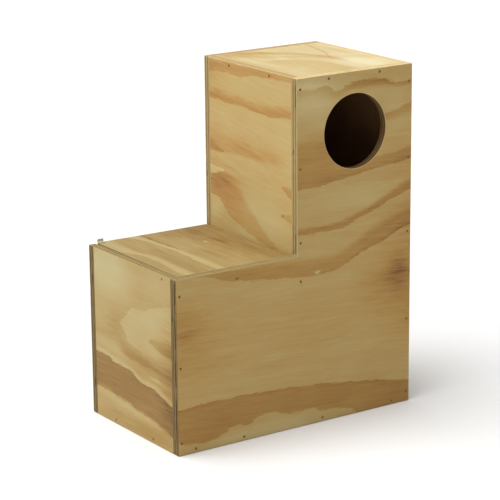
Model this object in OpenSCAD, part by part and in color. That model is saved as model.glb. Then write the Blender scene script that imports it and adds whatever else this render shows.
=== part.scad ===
// Boot-shaped plywood nest box: a tall entrance tower that stands at the back of a low nest chamber.
// The toe points towards -X and the entrance hole faces -Y. The chamber's lid lies flush in the toe,
// turns on two pins near the entrance side, and rests on a rebate in the plain side panel.

/* [Box] */
// Length from the toe end to the back
box_length = 406; // [390:1:430]
// Width across both side panels
box_width = 232; // [210:1:260]
// Height of the tower
box_height = 508; // [495:1:560]
// Height of the toe, up to the top face of its lid
toe_height = 254; // [240:1:280]
// Length of the tower, from the outer face of the riser to the back
tower_length = 203; // [190:1:215]
// Thickness of the plywood
ply = 12; // [11:0.5:13]
// How far the riser reaches down past the top face of the lid
riser_drop = 60; // [45:1:70]

/* [Entrance] */
// Diameter of the entrance hole
entrance_diameter = 108; // [60:1:112]
// Height of the centre of the entrance hole
entrance_height = 422; // [400:1:425]

/* [Lid] */
// Gap between each end of the lid and the panel next to it
lid_end_gap = 1.5; // [1:0.1:2.5]
// Gap between the lid and the entrance side panel
lid_side_gap = 1.2; // [1:0.1:2]
// How far the far edge of the lid stays inside the outer face of the plain side panel
lid_far_inset = 1; // [0.5:0.1:2]
// Air between the closed lid and the rebate that it rests on
lid_seat_gap = 0.3; // [0.2:0.1:0.5]
// Distance from the outer face of the entrance side panel to the pivot line
pivot_inset = 35; // [34:1:50]
// Diameter of the pivot pins
pin_diameter = 3.2; // [3:0.1:4]
// Radial clearance between a pivot pin and its bore in the lid
pin_clearance = 0.05; // [0.02:0.01:0.1]

/* [Lift tab] */
// Length of the tab along the edge of the lid
tab_length = 10; // [8:0.5:14]
// Depth of the tab's foot on the lid
tab_depth = 8; // [7:0.5:12]
// Height of the tab's upright lip above the lid
tab_height = 5; // [4:0.5:8]
// Thickness of the tab's sheet steel
tab_sheet = 1.2; // [0.8:0.1:1.5]

/* [Rungs] */
// Number of climbing rungs below the entrance hole
rung_count = 5; // [3:1:5]
// Distance from one rung to the next
rung_pitch = 60; // [50:1:62]
// Length of a rung
rung_length = 120; // [80:1:140]
// Side of a rung's square section
rung_side = 12; // [10:0.5:15]
// Distance from the lowest point of the entrance hole to the centre of the first rung
rung_start = 36; // [25:1:40]

/* [Nails] */
// Length of the nails that join the panels
nail_length = 32; // [28:1:38]
// Diameter of a nail's shank
nail_shank = 1.8; // [1.6:0.1:2.2]
// Diameter of a nail's head
nail_head = 2.8; // [2.6:0.1:3.4]
// Depth of a nail's head
nail_head_depth = 1; // [0.8:0.1:1.2]

/* [Hidden] */

// Outer faces of the box, and the outer face of the riser
toe_x = -box_length / 2;
back_x = box_length / 2;
riser_x = back_x - tower_length;
near_y = -box_width / 2;
far_y = box_width / 2;

inner_width = box_width - 2 * ply;
riser_bottom = toe_height - riser_drop;
entrance_x = riser_x + tower_length / 2;
cut_margin = 1;
round_fn = 96;
nail_fn = 24;

// Lid outline and the line that it turns on
lid_toe_x = toe_x + ply + lid_end_gap;
lid_riser_x = riser_x - lid_end_gap;
lid_near_y = near_y + ply + lid_side_gap;
lid_far_y = far_y - lid_far_inset;
pivot_y = near_y + pivot_inset;
pivot_z = toe_height - ply / 2;
rebate_z = toe_height - ply - lid_seat_gap;

pin_length = 36;
pin_head = 4.4;
pin_head_depth = 1;
pin_bore_depth = pin_length - ply - lid_end_gap + cut_margin;

tab_nail_length = 9;
rung_nail_length = 20;
rung_nail_inset = 22;

// Nail places: drops below the top of the tower, heights above the floor, and distances from
// the toe end, from the riser and from the entrance side
riser_nail_drops = [16, 129, 235, 291];
back_nail_drops = [26, 137, 247, 380, 492];
toe_nail_heights = [230, 127, 18];
floor_nail_runs = [29, 110, 247, 373];
top_nail_runs = [55, 144];
cross_nail_widths = [66, 167];

plywood_tan = [0.80, 0.67, 0.45];
pine_tan = [0.86, 0.74, 0.52];
steel_grey = [0.62, 0.62, 0.60];
dark_steel = [0.34, 0.31, 0.28];

// A sheet standing along X, from an outline in X and Z, with its low-Y face at y
module sheet_along_x(y) {
    translate([0, y + ply, 0])
        rotate([90, 0, 0])
            linear_extrude(ply)
                children();
}

// A sheet standing across the box, between the side panels, with its low-X face at x
module sheet_across(x, bottom, top) {
    translate([x, -inner_width / 2, bottom])
        cube([ply, inner_width, top - bottom]);
}

// A sheet lying flat between the side panels
module flat_sheet(x_low, x_high, bottom) {
    translate([x_low, -inner_width / 2, bottom])
        cube([x_high - x_low, inner_width, ply]);
}

// A nail with the top of its head at the origin, driven down along -Z
module nail(length, head, head_depth, shank) {
    translate([0, 0, -head_depth])
        cylinder(h = head_depth, d = head, $fn = nail_fn);
    translate([0, 0, -length])
        cylinder(h = length, d = shank, $fn = nail_fn);
}

module panel_nail() {
    nail(nail_length, nail_head, nail_head_depth, nail_shank);
}

// A panel nail driven inwards through each side panel
module side_nails(x, z) {
    for (side = [0, 1])
        mirror([0, side, 0])
            translate([x, near_y, z])
                rotate([90, 0, 0])
                    panel_nail();
}

// Panel nails driven towards +X from the face at x, one at each place across the width
module forward_nails(x, z) {
    for (width = cross_nail_widths)
        translate([x, near_y + width, z])
            rotate([0, -90, 0])
                panel_nail();
}

// Panel nails driven towards -X from the back face, one at each place across the width
module backward_nails(z) {
    for (width = cross_nail_widths)
        translate([back_x, near_y + width, z])
            rotate([0, 90, 0])
                panel_nail();
}

module entrance_side_panel() {
    color(plywood_tan)
        difference() {
            sheet_along_x(near_y)
                polygon([
                    [toe_x, 0],
                    [back_x, 0],
                    [back_x, box_height],
                    [riser_x, box_height],
                    [riser_x, toe_height],
                    [toe_x, toe_height]
                ]);
            translate([entrance_x, near_y - cut_margin, entrance_height])
                rotate([-90, 0, 0])
                    cylinder(h = ply + 2 * cut_margin, d = entrance_diameter, $fn = round_fn);
        }
}

module plain_side_panel() {
    color(plywood_tan)
        sheet_along_x(far_y - ply)
            polygon([
                [toe_x, 0],
                [back_x, 0],
                [back_x, box_height],
                [riser_x, box_height],
                [riser_x, rebate_z],
                [toe_x + ply, rebate_z],
                [toe_x + ply, toe_height],
                [toe_x, toe_height]
            ]);
}

module toe_end_panel() {
    color(plywood_tan)
        sheet_across(toe_x, 0, toe_height);
}

module riser_panel() {
    color(plywood_tan)
        sheet_across(riser_x, riser_bottom, box_height);
}

module back_panel() {
    color(plywood_tan)
        sheet_across(back_x - ply, 0, box_height);
}

module top_panel() {
    color(plywood_tan)
        flat_sheet(riser_x + ply, back_x - ply, box_height - ply);
}

module floor_panel() {
    color(plywood_tan)
        flat_sheet(toe_x + ply, back_x - ply, 0);
}

module inspection_lid() {
    lid_run = lid_riser_x - lid_toe_x;
    lid_width = lid_far_y - lid_near_y;
    bore = pin_diameter + 2 * pin_clearance;
    color(plywood_tan)
        difference() {
            translate([lid_toe_x, lid_near_y, toe_height - ply])
                cube([lid_run, lid_width, ply]);
            for (x = [lid_toe_x - cut_margin, lid_riser_x + cut_margin - pin_bore_depth])
                translate([x, pivot_y, pivot_z])
                    rotate([0, 90, 0])
                        cylinder(h = pin_bore_depth, d = bore, $fn = round_fn);
        }
}

// The pins are driven from the outside of the toe end and from the inside of the riser
module toe_pivot_pin() {
    color(dark_steel)
        translate([toe_x, pivot_y, pivot_z])
            rotate([0, -90, 0])
                nail(pin_length, pin_head, pin_head_depth, pin_diameter);
}

module riser_pivot_pin() {
    color(dark_steel)
        translate([riser_x + ply, pivot_y, pivot_z])
            rotate([0, 90, 0])
                nail(pin_length, pin_head, pin_head_depth, pin_diameter);
}

// A foot on the lid and an upright lip along the lid's far edge
module lift_tab() {
    color(steel_grey) {
        translate([lid_toe_x, lid_far_y - tab_depth, toe_height])
            cube([tab_length, tab_depth, tab_sheet]);
        translate([lid_toe_x, lid_far_y - tab_sheet, toe_height])
            cube([tab_length, tab_sheet, tab_height]);
    }
}

module lift_tab_nail() {
    foot_middle = (tab_depth + tab_sheet) / 2;
    color(steel_grey)
        translate([
            lid_toe_x + tab_length / 2,
            lid_far_y - foot_middle,
            toe_height + tab_sheet + nail_head_depth
        ])
            nail(tab_nail_length, nail_head, nail_head_depth, nail_shank);
}

// Height of the centre of each rung, from the top one down
function rung_height(i) = entrance_height - entrance_diameter / 2 - rung_start - i * rung_pitch;

module climbing_rungs() {
    color(pine_tan)
        for (i = [0 : rung_count - 1])
            translate([entrance_x - rung_length / 2, near_y + ply, rung_height(i) - rung_side / 2])
                cube([rung_length, rung_side, rung_side]);
}

module rung_nails() {
    reach = rung_length / 2 - rung_nail_inset;
    color(dark_steel)
        for (i = [0 : rung_count - 1], x = [entrance_x - reach, entrance_x + reach])
            translate([x, near_y + ply + rung_side, rung_height(i)])
                rotate([-90, 0, 0])
                    nail(rung_nail_length, nail_head, nail_head_depth, nail_shank);
}

module side_to_riser_nails() {
    color(dark_steel)
        for (drop = riser_nail_drops)
            side_nails(riser_x + ply / 2, box_height - drop);
}

module side_to_back_nails() {
    color(dark_steel)
        for (drop = back_nail_drops)
            side_nails(back_x - ply / 2, box_height - drop);
}

module side_to_top_nails() {
    color(dark_steel)
        for (run = top_nail_runs)
            side_nails(riser_x + run, box_height - ply / 2);
}

module side_to_toe_end_nails() {
    color(dark_steel)
        for (height = toe_nail_heights)
            side_nails(toe_x + ply / 2, height);
}

module side_to_floor_nails() {
    color(dark_steel)
        for (run = floor_nail_runs)
            side_nails(toe_x + run, ply / 2);
}

module toe_end_to_floor_nails() {
    color(dark_steel)
        forward_nails(toe_x, ply / 2);
}

module riser_to_top_nails() {
    color(dark_steel)
        forward_nails(riser_x, box_height - ply / 2);
}

module back_to_top_nails() {
    color(dark_steel)
        backward_nails(box_height - ply / 2);
}

module back_to_floor_nails() {
    color(dark_steel)
        backward_nails(ply / 2);
}

entrance_side_panel();
plain_side_panel();
toe_end_panel();
riser_panel();
back_panel();
top_panel();
floor_panel();
inspection_lid();
toe_pivot_pin();
riser_pivot_pin();
lift_tab();
lift_tab_nail();
climbing_rungs();
rung_nails();
side_to_riser_nails();
side_to_back_nails();
side_to_top_nails();
side_to_toe_end_nails();
side_to_floor_nails();
toe_end_to_floor_nails();
riser_to_top_nails();
back_to_top_nails();
back_to_floor_nails();
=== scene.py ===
"""Boot-shaped plywood nest box: the looks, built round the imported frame, in metres.

Figure in the veneers is written in millimetres of the row frame, because that is how it is read."""
import math
from collections import namedtuple

import bmesh
import bpy
import numpy as np
from mathutils import Matrix, Vector, noise
from mathutils.geometry import delaunay_2d_cdt


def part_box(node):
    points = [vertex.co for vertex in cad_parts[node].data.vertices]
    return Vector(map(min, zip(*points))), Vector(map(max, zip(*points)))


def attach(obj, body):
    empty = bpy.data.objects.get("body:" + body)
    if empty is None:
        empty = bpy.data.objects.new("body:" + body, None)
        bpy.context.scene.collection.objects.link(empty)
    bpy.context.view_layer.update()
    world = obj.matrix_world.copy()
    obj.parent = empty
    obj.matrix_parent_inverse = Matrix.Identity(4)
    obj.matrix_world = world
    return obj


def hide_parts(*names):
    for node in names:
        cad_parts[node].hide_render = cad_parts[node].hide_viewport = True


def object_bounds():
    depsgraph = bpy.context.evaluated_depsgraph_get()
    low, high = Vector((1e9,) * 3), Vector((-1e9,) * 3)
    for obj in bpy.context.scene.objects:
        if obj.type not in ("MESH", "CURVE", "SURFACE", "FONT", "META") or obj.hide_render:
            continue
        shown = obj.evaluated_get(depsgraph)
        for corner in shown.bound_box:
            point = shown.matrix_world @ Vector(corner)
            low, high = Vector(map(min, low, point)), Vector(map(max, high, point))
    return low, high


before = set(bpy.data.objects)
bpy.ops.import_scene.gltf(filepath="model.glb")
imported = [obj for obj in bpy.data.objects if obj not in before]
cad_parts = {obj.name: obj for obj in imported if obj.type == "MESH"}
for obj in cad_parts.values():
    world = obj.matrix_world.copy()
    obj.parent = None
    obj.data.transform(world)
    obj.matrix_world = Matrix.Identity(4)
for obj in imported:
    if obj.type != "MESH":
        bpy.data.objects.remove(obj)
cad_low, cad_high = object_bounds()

MM = 0.001
X, Y, Z = 0, 1, 2

# ------------------------------------------------------------------ camera, light and floor

CAMERA_ANGLES = (-34.283, 15.304, -0.534)   # azimuth, elevation and roll, in degrees
CAMERA_AIM = Vector((-0.0029, -0.0027, 0.2397))
CAMERA_DISTANCE = 3.0986
CAMERA_LENS = 154.05
KEY_WAY = (0.32, -0.10, -0.942)             # the way that the key light shines
KEY_POWER = 3.4
KEY_ANGLE = 58                              # how wide the key is, in degrees
KEY_COLOUR = (1.0, 0.99, 0.975)
KEY_PLACE = (0, 0, 3)
SURROUND_COLOUR = (0.96, 0.98, 1.0, 1.0)
SURROUND_STRENGTH = 0.3
FLOOR_RINGS = (0.6, 1.6, 4.0, 14.0)         # radii of the floor's rings of points
FLOOR_SIDES = 96
FLOOR_DROP = 0.2 * MM

# ------------------------------------------------------------------ measures of the real box

SHEET_MM = 12.0             # thickness of every sheet, in millimetres
PLY_SHARES = (0.17, 0.215, 0.23, 0.215, 0.17)     # thickness of each ply, as a share of the sheet
GLUE_SHARE = 0.014          # half the width of a glue line, as a share of the sheet
GLUE_HALF_LINE = 0.2 * MM   # half the height of the groove at a glue line
GLUE_GROOVE = 0.16 * MM     # how far a glue line lies below the edge of its sheet
VOID_DEPTH = 2.4 * MM       # depth of a gap in a core ply, where it shows at an edge
ARRIS = 0.7 * MM            # radius worn onto every edge of a sheet
WEAR = 1.6 * MM             # scale of the patches where the outer arris is worn further
CORNER_RADIUS = 1.6 * MM    # radius of a sheet's outer corners, seen from its face
ARC_STEPS = 3               # steps round an arris or a corner
EDGE_ROUGHNESS = 0.14 * MM  # how unevenly the saw left the edges
RIM_STEP = 3.0 * MM         # spacing of the columns round a sheet's rim
FACE_STEP = 18.0 * MM       # spacing of the points inside a sheet's face
JOINT_GAP = 0.35 * MM       # air left where one sheet butts against another
SEAT_GAP = 0.3 * MM         # air between the closed lid and its rebate
THINNEST_BAND = 0.4         # narrowest band of late wood, in millimetres

ENTRANCE_CENTRE = (0.1015, 0.422)           # in X and Z
ENTRANCE_RADIUS = 54 * MM

PIT_RADIUS = 1.9 * MM       # radius of the dent round a nail's head
PIT_LIP = 0.22 * MM         # depth of that dent
PIT_WALL = 1.5 * MM         # radius of the hole that the head made
PIT_DEPTH = 0.65 * MM       # depth of that hole
PIT_SIDES = 20
HEAD_SINK = 0.25 * MM       # how far a nail's head lies below the face
NAIL_LEAN = 0.05            # how far a nail may lean, as a slope
NAIL_SHANK = 0.64           # radius of a nail's shank, as a share of its head's
PIN_SHANK = 0.72            # the same for a pivot pin
NAIL_SIDES = 18

LID_LEVEL = 254             # top of the toe part, in millimetres
LID_WARP = 1.4 * MM         # how far the lid's far corner has lifted at the toe end
LID_WARP_NEAR = 0.1         # how much of that its near corner has lifted
LID_WARP_POWER = 1.6        # how fast the warp grows towards the toe

TAB_SHEET = 1.2 * MM        # thickness of the lift tab's steel
TAB_BEND = 1.6 * MM         # outer radius of its bend
TAB_BEND_STEPS = 5
TAB_CORNER = 1.1 * MM       # radius of its corners
TAB_SECTIONS = 17

RUNG_ARRIS = 0.8 * MM       # radius of a rung's long edges
RUNG_STEP = 6 * MM          # spacing of the sections along a rung
RUNG_END_STEPS = (0.0, 0.3 * MM, 1.0 * MM)  # places of the sections at its ends
RUNG_END_EASE = 0.09        # how much smaller a rung is at its very end, as a share

# ------------------------------------------------------------------ shader helpers


def paint(red, green, blue):
    """A 0-255 screen colour, as the linear colour that shader sockets take."""
    linear = []
    for level in (red, green, blue):
        share = level / 255
        linear.append(share / 12.92 if share <= 0.04045 else ((share + 0.055) / 1.055) ** 2.4)
    return (*linear, 1.0)


def put(tree, value, socket):
    """Links a wire to the socket, or sets the socket to a plain value."""
    if isinstance(value, Wire):
        tree.links.new(value.socket, socket)
    else:
        socket.default_value = value


class Wire:
    """A shader output that carries a number, with ordinary arithmetic."""

    def __init__(self, tree, socket):
        self.tree = tree
        self.socket = socket

    def math(self, operation, *others):
        made = self.tree.nodes.new("ShaderNodeMath")
        made.operation = operation
        for socket, value in zip(made.inputs, (self, *others)):
            put(self.tree, value, socket)
        return Wire(self.tree, made.outputs[0])

    def __add__(self, other):
        return self.math("ADD", other)

    def __sub__(self, other):
        return self.math("SUBTRACT", other)

    def __rsub__(self, other):
        return self.math("MULTIPLY_ADD", -1.0, other)

    def __mul__(self, other):
        return self.math("MULTIPLY", other)

    def __truediv__(self, other):
        return self.math("DIVIDE", other)

    def fraction(self):
        return self.math("FRACT")

    def larger(self, other):
        return self.math("MAXIMUM", other)

    def smaller(self, other):
        return self.math("MINIMUM", other)

    def eased(self, low, high):
        """0 below low, 1 above high, and a smooth step between them."""
        made = self.tree.nodes.new("ShaderNodeMapRange")
        made.interpolation_type = "SMOOTHSTEP"
        for name, value in (("Value", self), ("From Min", low), ("From Max", high)):
            put(self.tree, value, made.inputs[name])
        return Wire(self.tree, made.outputs[0])

    def curve(self, points):
        """The level at this place on a smooth line through (place, level) points."""
        places = [point[0] for point in points]
        levels = [point[1] for point in points]
        start, length = min(places), max(places) - min(places)
        bottom = min(levels) - 1.0
        height = max(levels) - bottom + 1.0
        made = self.tree.nodes.new("ShaderNodeFloatCurve")
        line = made.mapping.curves[0]
        scaled = [((p - start) / length, (v - bottom) / height) for p, v in sorted(points)]
        line.points[0].location = scaled[0]
        line.points[1].location = scaled[-1]
        for place, level in scaled[1:-1]:
            line.points.new(place, level)
        made.mapping.update()
        put(self.tree, (self - start) / length, made.inputs["Value"])
        return Wire(self.tree, made.outputs[0]) * height + bottom


def noise_at(x, y, z, detail=2.0, roughness=0.5):
    """Smooth noise about 0, mostly from -0.5 to 0.5, at a place given by three wires or numbers."""
    tree = next(value for value in (x, y, z) if isinstance(value, Wire)).tree
    place = tree.nodes.new("ShaderNodeCombineXYZ")
    for socket, value in zip(place.inputs, (x, y, z)):
        put(tree, value, socket)
    made = tree.nodes.new("ShaderNodeTexNoise")
    tree.links.new(place.outputs[0], made.inputs["Vector"])
    made.inputs["Scale"].default_value = 1.0
    made.inputs["Detail"].default_value = detail
    made.inputs["Roughness"].default_value = roughness
    return Wire(tree, made.outputs[0]) * 1.6 - 0.8


def millimetres(tree):
    """The place on the object, as three wires in millimetres of the row frame."""
    coordinates = tree.nodes.new("ShaderNodeTexCoord")
    split = tree.nodes.new("ShaderNodeSeparateXYZ")
    tree.links.new(coordinates.outputs["Object"], split.inputs[0])
    return [Wire(tree, output) * 1000.0 for output in split.outputs]


def colour_ramp(value, stops):
    """The colour for value, from (place, colour) stops."""
    made = value.tree.nodes.new("ShaderNodeValToRGB")
    elements = made.color_ramp.elements
    elements[0].position, elements[0].color = stops[0]
    elements[1].position, elements[1].color = stops[-1]
    for place, colour in stops[1:-1]:
        elements.new(place).color = colour
    put(value.tree, value, made.inputs[0])
    return Wire(value.tree, made.outputs[0])


def blended(amount, first, second, how="MIX"):
    """First colour, turning into the second as amount goes from 0 to 1."""
    tree = amount.tree
    made = tree.nodes.new("ShaderNodeMix")
    made.data_type = "RGBA"
    made.blend_type = how
    made.clamp_factor = True
    put(tree, amount, made.inputs["Factor"])
    colours = [socket for socket in made.inputs if socket.type == "RGBA"]
    put(tree, first, colours[0])
    put(tree, second, colours[1])
    return Wire(tree, next(output for output in made.outputs if output.type == "RGBA"))


def blank_material(name):
    """A new material and its empty node tree."""
    material = bpy.data.materials.new(name)
    material.use_nodes = True
    material.node_tree.nodes.clear()
    return material, material.node_tree


def finish_material(tree, colour, roughness, height, relief, **fixed):
    """Joins colour, roughness and a height wire to the surface; relief is the height's scale in metres."""
    surface = tree.nodes.new("ShaderNodeBsdfPrincipled")
    output = tree.nodes.new("ShaderNodeOutputMaterial")
    bump = tree.nodes.new("ShaderNodeBump")
    bump.inputs["Distance"].default_value = relief
    put(tree, height, bump.inputs["Height"])
    put(tree, colour, surface.inputs["Base Color"])
    put(tree, roughness, surface.inputs["Roughness"])
    tree.links.new(bump.outputs[0], surface.inputs["Normal"])
    for name, value in fixed.items():
        surface.inputs[name.replace("_", " ")].default_value = value
    tree.links.new(surface.outputs[0], output.inputs["Surface"])


# ------------------------------------------------------------------ veneer


def mean_level(line):
    """The mean level of a line of (along, level) points."""
    return sum(level for _, level in line) / len(line)


def band_of(along, level, band):
    """How much late wood a band shows at a place."""
    near = along.curve(band.sharp)
    width = along.curve(band.soft) - near
    way = 1.0 if mean_level(band.soft) > mean_level(band.sharp) else -1.0
    away = (level - near) * way
    reach = (width * way).larger(THINNEST_BAND)
    mask = away.eased(-band.blur, band.blur) * (1.0 - (away / reach).eased(band.hold, 1.0))
    if band.over:
        start, stop, fade = band.over
        mask = mask * along.eased(start - fade, start + fade) * (1.0 - along.eased(stop - fade, stop + fade))
    return mask * band.strength


def spot_of(along, level, spot):
    """How much late wood a spot shows at a place."""
    across = (along - spot.at[0]) / spot.size[0]
    up = (level - spot.at[1]) / spot.size[1]
    distance = (across * across + up * up).math("SQRT")
    return (1.0 - distance.eased(spot.edge, 1.0)) * spot.strength


def rings_of(along, level, period, seed):
    """Bands of late wood as a peeled log shows them: one edge sharp, the other fading."""
    slow = noise_at(along / 260, level / 70, seed, detail=1.0)
    quick = noise_at(along / 60, level / 16, seed + 4.0, detail=2.0)
    turn = (level / period + slow * 4.2 + quick * 0.22).fraction()
    strong = noise_at(along / 190, level / 60, seed + 9.0).eased(-0.35, 0.4) * 0.42 + 0.2
    return turn.math("POWER", 2.2) * (1.0 - turn.eased(0.965, 1.0)) * strong


def veneer(name, grain, across, stops, tone, bands=(), spots=(), seed=1.0, period=None, slope=0.0,
           figure=1.0):
    """Face veneer of the plywood.

    grain and across are the frame's axes along and across the grain. stops is the colour ramp from
    early wood to the darkest late wood, and tone is where on it plain wood lies. bands and spots are
    the figure that this sheet has; period adds rings all over a sheet whose figure is not drawn. slope
    is how far the grain leans, and figure how strongly its streaks show."""
    material, tree = blank_material(name)
    place = millimetres(tree)
    along = place[grain]
    straight = place[across]
    slanted = straight + along * slope
    wander = noise_at(along / 46, straight / 12, seed, detail=2.0) * 3.4
    fingers = noise_at(along / 17, straight / 3.2, seed + 3.0, detail=3.0, roughness=0.6) * 5.5
    level = straight + wander + fingers

    streak = noise_at(along / 34, slanted / 1.9, seed + 5.0, detail=3.0, roughness=0.6)
    ribbon = noise_at(along / 85, slanted / 5.5, seed + 15.0, detail=2.0, roughness=0.6)
    broad = noise_at(along / 210, slanted / 17, seed + 6.0, detail=2.0)
    cloud = noise_at(along / 80, straight / 55, seed + 7.0, detail=2.0)
    pores = noise_at(along / 5.5, slanted / 0.42, seed + 8.0, detail=1.0).eased(0.17, 0.42)
    fibres = noise_at(along / 24, slanted / 0.55, seed + 11.0, detail=3.0, roughness=0.7)

    mottle = (ribbon + streak) * 0.4 + 1.0
    shown = [band_of(along, level, band) for band in bands]
    shown += [spot_of(along, level, spot) * mottle for spot in spots]
    if period:
        shown.append(rings_of(along, slanted, period, seed + 2.0))
    late = sum(shown[1:], shown[0]) if shown else cloud * 0.2
    patchy = (streak * 0.35 + ribbon * 0.3) * figure + 1.0
    darkness = late * patchy + (streak * 0.16 + ribbon * 0.13) * figure + broad * 0.10 + cloud * 0.08 + tone
    darkness = darkness + pores * 0.07 + fibres * 0.06
    colour = colour_ramp(darkness, stops)
    warm = noise_at(along / 60, straight / 12, seed + 13.0, detail=3.0, roughness=0.6)
    colour = blended(warm.eased(-0.35, 0.35) * 0.7, colour, paint(255, 247, 233), how="MULTIPLY")

    roughness = streak * 0.10 + late * -0.06 + 0.66
    height = fibres * 0.5 + streak * 0.5 - pores * 0.8 + late * 0.6
    finish_material(tree, colour, roughness, height, 0.16 * MM, Specular_IOR_Level=0.28)
    return material


def ply_stops(shades):
    """Colour stops through a sheet's edge: five plies with a glue line between each pair."""
    with_face, cross, glue, _ = shades
    stops = []
    edge = 0.0
    for count, width in enumerate(PLY_SHARES):
        tint = cross if count % 2 else with_face
        stops.append((edge + (GLUE_SHARE if count else 0.0), tint))
        edge += width
        if count < len(PLY_SHARES) - 1:
            stops += [(edge - GLUE_SHARE, tint), (edge, glue)]
    stops.append((1.0, with_face))
    return stops


def within(value, low, high, fade):
    """1 where value lies between low and high, fading to 0 outside."""
    return value.eased(low - fade, low + fade) * (1.0 - value.eased(high - fade, high + fade))


def ply_edge(name, run, deep, outer, shades, seed):
    """Cut edge of a sheet: five plies, their glue lines and the saw's marks.

    run is the axis along the edge, deep the axis through the sheet, and outer the sheet's low side.
    shades are two sets, for edges below the lid's level and above it: face and middle plies, cross
    plies, glue, and the worn arrises."""
    material, tree = blank_material(name)
    place = millimetres(tree)
    along = place[run]
    other = place[3 - run - deep]
    lower, upper = shades
    wobble = noise_at(along / 38, seed, other / 50, detail=2.0) * 0.03
    share = (place[deep] - outer) / SHEET_MM + wobble
    # Horizontal edges below the lid's level take darker colours, as painted shade
    is_upper = place[Z].eased(LID_LEVEL + 2, LID_LEVEL + 8)
    if run == Z:
        # Upright edges away from the toe are as bright below the lid's level as above it
        is_upper = is_upper.larger(place[X].eased(-110.0, -90.0))
    colour = blended(is_upper, colour_ramp(share, ply_stops(lower)), colour_ramp(share, ply_stops(upper)))
    glue = blended(is_upper, lower[2], upper[2])
    cross = blended(is_upper, lower[1], upper[1])
    arris = blended(is_upper, lower[3], upper[3])

    speck = noise_at(along / 0.9, place[deep] / 0.7, other / 0.9 + seed, detail=3.0, roughness=0.65)
    smear = noise_at(along / 14, place[deep] / 0.8, other / 14 + seed, detail=3.0)
    stain = noise_at(along / 60, place[deep] / 9, other / 60 + seed + 3.0, detail=2.0)
    first = PLY_SHARES[0]
    second = first + PLY_SHARES[1]
    in_cross = within(share, first, second, 0.02) + within(share, 1 - second, 1 - first, 0.02)
    torn = noise_at(along / 11, seed, other / 11, detail=3.0, roughness=0.6).eased(-0.12, 0.3)
    near_glue = within(share, first, first + 0.05, 0.025)
    near_glue = near_glue + within(share, 1 - second, 1 - second + 0.05, 0.025)
    seam = noise_at(along / 75, share * 3.0, other / 75 + seed + 9.0, detail=3.0, roughness=0.6)
    colour = blended(in_cross * torn * 0.35, colour, glue)
    colour = blended(near_glue * seam.eased(-0.2, 0.15) * 0.9, colour, glue)
    colour = blended(speck.eased(0.05, 0.6) * 0.35, colour, glue)
    colour = blended(smear.eased(-0.1, 0.6) * 0.4, colour, cross)
    colour = blended(stain.eased(0.05, 0.6) * 0.25, colour, glue)
    worn = 1.0 - within(share, 0.03, 0.97, 0.025)
    colour = blended(worn * 0.8, colour, arris)
    marks = noise_at(along / 1.1, place[deep] / 26, other / 1.1, detail=2.0)
    height = speck * 0.7 + marks * 0.6 - in_cross * torn
    roughness = speck * 0.08 + 0.78
    finish_material(tree, colour, roughness, height, 0.3 * MM, Specular_IOR_Level=0.2)
    return material


def bruised_wood():
    """Crushed, rust-stained wood in the dents that nails were driven into."""
    material, tree = blank_material("nail_dent_wood")
    x, y, z = millimetres(tree)
    fibres = noise_at(x / 0.6, y / 0.6, z / 0.6, detail=3.0)
    rust = noise_at(x / 9, y / 9, z / 9, detail=1.0)
    colour = blended((rust + fibres * 0.6 + 0.5).smaller(1.0), paint(136, 102, 56), paint(94, 66, 34))
    finish_material(tree, colour, fibres * 0.1 + 0.8, fibres, 0.15 * MM, Specular_IOR_Level=0.2)
    return material


# ------------------------------------------------------------------ figure drawn on the seen sheets

# A band of late wood lies between its sharp edge and its soft edge, which are lines of points that give
# the place along the grain and the level across it. hold is the share of the width at full strength,
# blur the softness of the sharp edge, and over where the band starts and stops: (start, stop, fade).
Band = namedtuple("Band", "sharp soft strength hold blur over", defaults=(0.0, 0.8, None))
# A spot is a knot or a stain: its centre, its two half widths, its strength, and the share of the half
# width where it starts to fade. A strength below 0 is paler wood.
Spot = namedtuple("Spot", "at size strength edge", defaults=(0.0,))

# Sharp edges that two bands share: below the entrance, along the side's foot, and across the toe end
BELOW_ENTRANCE = [(0, 350), (50, 352), (100, 358), (150, 364), (206, 370)]
ALONG_FOOT = [(-206, 68), (-100, 68), (-50, 66), (0, 62), (50, 57), (100, 50), (150, 42), (206, 32)]
ACROSS_TOE = [(-107, 66), (-75, 76), (-50, 81), (-20, 83), (0, 90), (20, 93), (50, 94), (75, 99), (107, 98)]

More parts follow.
